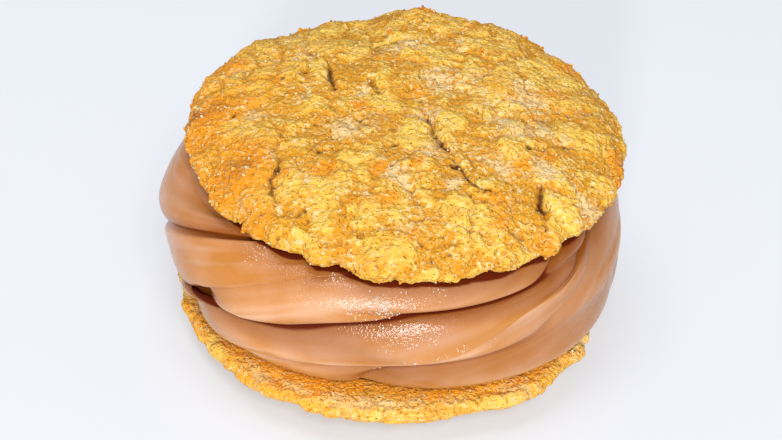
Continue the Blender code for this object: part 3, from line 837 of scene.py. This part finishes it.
top = put_mesh(
    "top_cookie_crust",
    points,
    triangles,
    dough,
    toast=toast,
    pale=pale,
    # painted shade in the cracks, the pits and the creases between lumps
    crack=np.clip(crack_near + 0.9 * pit + np.clip(-0.8 * middles - 0.35, 0, 0.5), 0, 1),
    rise=middles,
)
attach(top, "root")
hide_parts("top_cookie")


# --- Loose sugar, frost and crumbs ---------------------------------------------
# Coarse sugar that stuck to the crust, frost grains gathered where the soft box's highlights fall on the ice cream, so
# that their white is real frost and painted highlight both, and crumbs that have come off the cookies. Each kind is
# one piece, with every grain a small closed body of its own.

SUGAR_ON_CROWN, SUGAR_ON_LEDGE = 520, 80
CRUMBS_ON_CROWN, CRUMBS_ON_RIM, CRUMBS_ON_LEDGE = 260, 180, 160
FROST_GRAINS = 460
# Places where the soft box's highlights fall on the ice cream; the frost grains gather round them as painted
# highlight.
HIGHLIGHT_FROST = (  # x, y, z, reach, strength
    (-7.5, -42.9, 31.0, 2.0, 0.6),
    (-2.4, -42.8, 31.4, 1.5, 2.6),
    (1.0, -42.2, 32.4, 1.8, 0.8),
    (-1.5, -43.8, 23.4, 1.1, 0.6),
    (2.2, -43.7, 24.4, 1.1, 1.1),
    (6.2, -43.3, 25.4, 1.2, 0.6),
    (-10.0, -39.0, 34.6, 1.4, 0.8),
    (-12.5, -38.9, 34.5, 0.8, 0.8),
    (-26.0, -33.0, 35.2, 1.8, 0.5),
    (7.0, -40.1, 33.9, 1.6, 0.3),
    (-3.0, -42.0, 17.3, 0.9, 0.5),
    (2.4, -43.9, 19.8, 0.9, 0.6),
    (8.0, -43.7, 21.4, 0.9, 0.6),
    (12.0, -43.0, 22.8, 0.9, 0.5),
    (17.3, -40.6, 23.5, 0.9, 0.5),
)


def small_shape(make, **size):
    """Corners and triangles of a small closed shape about the origin, made by one of bmesh's primitives."""
    shape = bmesh.new()
    make(shape, **size)
    bmesh.ops.triangulate(shape, faces=shape.faces)
    corners = np.array([corner.co[:] for corner in shape.verts])
    faces = np.array([[corner.index for corner in face.verts] for face in shape.faces])
    shape.free()
    return corners, faces


def scatter(points, triangles, weight, count):
    """Places drawn at random over a surface, more where the weight is high, and the outward direction at
    each."""
    a, b, c = (points[triangles[:, corner]] for corner in range(3))
    across = np.cross(b - a, c - a)
    area = np.linalg.norm(across, axis=1) + 1e-12
    chance = area * weight[triangles].mean(axis=1)
    drawn = loose.choice(len(triangles), count, p=chance / chance.sum())
    share = loose.dirichlet((1, 1, 1), count)
    places = share[:, :1] * a[drawn] + share[:, 1:2] * b[drawn] + share[:, 2:] * c[drawn]
    return places, across[drawn] / area[drawn, None]


def strew(name, shape, places, outward, sizes, uneven, material, **fields):
    """A piece made of a small shape at every place: turned at random, made uneven, as wide as its size, and
    sunk a fifth of that into the surface."""
    corners, faces = shape
    count = len(places)
    quarter = loose.normal(size=(4, count))
    w, x, y, z = quarter / np.linalg.norm(quarter, axis=0)
    turn = np.array(
        [
            [1 - 2 * (y * y + z * z), 2 * (x * y - z * w), 2 * (x * z + y * w)],
            [2 * (x * y + z * w), 1 - 2 * (x * x + z * z), 2 * (y * z - x * w)],
            [2 * (x * z - y * w), 2 * (y * z + x * w), 1 - 2 * (x * x + y * y)],
        ]
    )
    bodies = corners * (1 + uneven * loose.uniform(-1, 1, (count, len(corners), 1)))
    bodies = bodies * (1 + uneven * loose.uniform(-1, 1, (count, 1, 3))) * sizes[:, None, None] / 2
    bodies = np.einsum("ijn,nkj->nki", turn, bodies) + (places + 0.3 * sizes[:, None] * outward)[:, None]
    faces = faces + len(corners) * np.arange(count)[:, None, None]
    fields = {field: np.repeat(values, len(corners)) for field, values in fields.items()}
    return put_mesh(name, bodies.reshape(-1, 3), faces.reshape(-1, 3), material, smooth=False, **fields)


def crystal(name, colour, roughness, clear):
    """Clear crystals whose many facets scatter the light, so that a grain looks white with bright glints."""
    material = new_material(name)
    tree = material.node_tree
    surface = add_node(
        tree,
        "BsdfPrincipled",
        inputs={"Base Color": srgb(colour), "Roughness": roughness, "IOR": 1.5, "Transmission Weight": clear},
    )
    add_node(tree, "OutputMaterial", inputs={"Surface": surface})
    return material


cube = small_shape(bmesh.ops.create_cube, size=1.6)
chip = small_shape(bmesh.ops.create_icosphere, subdivisions=1, radius=1.0)
on_crown = scatter(*crown[:3], SUGAR_ON_CROWN)
on_ledge = scatter(*ledge, SUGAR_ON_LEDGE)
places, outward = (np.vstack(pair) for pair in zip(on_crown, on_ledge))
sizes = 0.20 + 0.25 * loose.random(len(places)) ** 2
sugar = strew("sugar_grains", cube, places, outward, sizes, 0.12, crystal("granulated_sugar", "EBD9AE", 0.3, 0.25))

x, y, z = twist[0].T
# Frost grains gather round the highlight places, as painted highlight, and keep out of the painted shadow.
weight = sum(s * np.exp(-((x - px) ** 2 + (y - py) ** 2 + (z - pz) ** 2) / r**2) for px, py, pz, r, s in HIGHLIGHT_FROST)
weight = weight * np.append(1 - seam.ravel(), [0, 0])
places, outward = scatter(*twist, weight, FROST_GRAINS)
sizes = 0.10 + 0.16 * loose.random(FROST_GRAINS) ** 2
frost = strew("highlight_frost_grains", cube, places, outward, sizes, 0.12, crystal("ice_frost", "FBEBDC", 0.2, 0.35))

on_crown = scatter(crown[0], crown[1], crown[2], CRUMBS_ON_CROWN)
on_rim = scatter(crown[0], crown[1], crown[3] ** 3, CRUMBS_ON_RIM)
on_ledge = scatter(*ledge, CRUMBS_ON_LEDGE)
places, outward = (np.vstack(parts) for parts in zip(on_crown, on_rim, on_ledge))
count = len(places)
crumbs = strew(
    "cookie_crumbs",
    chip,
    places,
    outward,
    0.30 + 0.65 * loose.random(count) ** 3,
    0.3,
    dough,
    toast=loose.uniform(0, 1.4, count),
    pale=loose.uniform(-0.5, 0.8, count),
    crack=np.zeros(count),
    rise=loose.uniform(-0.3, 0.8, count),
)
for piece, finish in ((sugar, "top_cookie"), (frost, "ice_cream"), (crumbs, "top_cookie")):
    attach(piece, "root")
